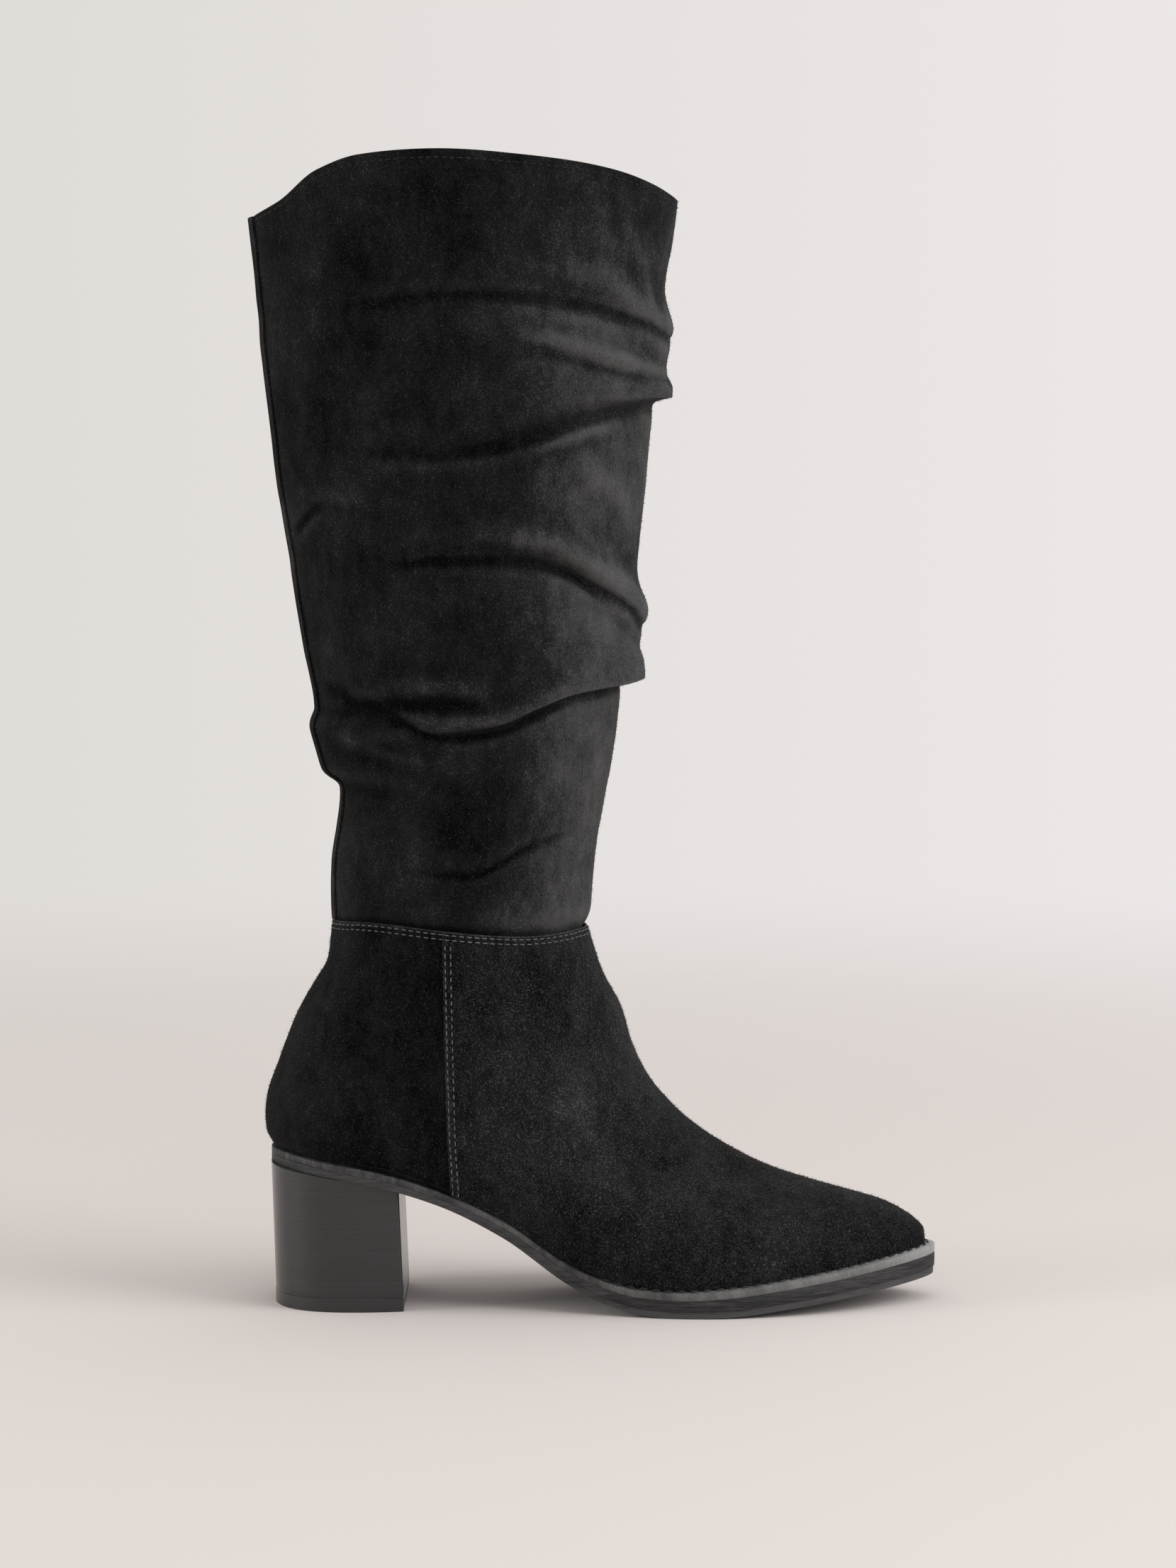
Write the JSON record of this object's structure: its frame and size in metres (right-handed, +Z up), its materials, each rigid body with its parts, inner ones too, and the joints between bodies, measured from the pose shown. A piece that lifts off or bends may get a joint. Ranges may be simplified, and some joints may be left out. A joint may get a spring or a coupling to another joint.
{
  "type": "slouch boot",
  "caption": "Right knee boot in black suede: slack slouched shaft with a curved collar, plain almond toe, thin welt and rounded block heel.",
  "frame": {"origin": "on the floor under the middle of the boot's overall box", "axes": "+Z up the shaft, +X to the toe, -Y to the outer side of the right foot"},
  "size_m": [0.2642, 0.0884, 0.4413],
  "materials": {
    "suede": "black nap",
    "outsole": "dark grey, matt",
    "welt": "grey, matt",
    "heel": "dark grey, satin",
    "insole": "smooth lining leather"
  },
  "bodies": {
    "root": {"outsole": "outsole", "welt": "welt", "heel_block": "heel", "top_lift": "outsole", "insole": "insole", "upper": "suede", "shaft": "suede", "back_strap": "suede"}
  },
  "joints": []
}
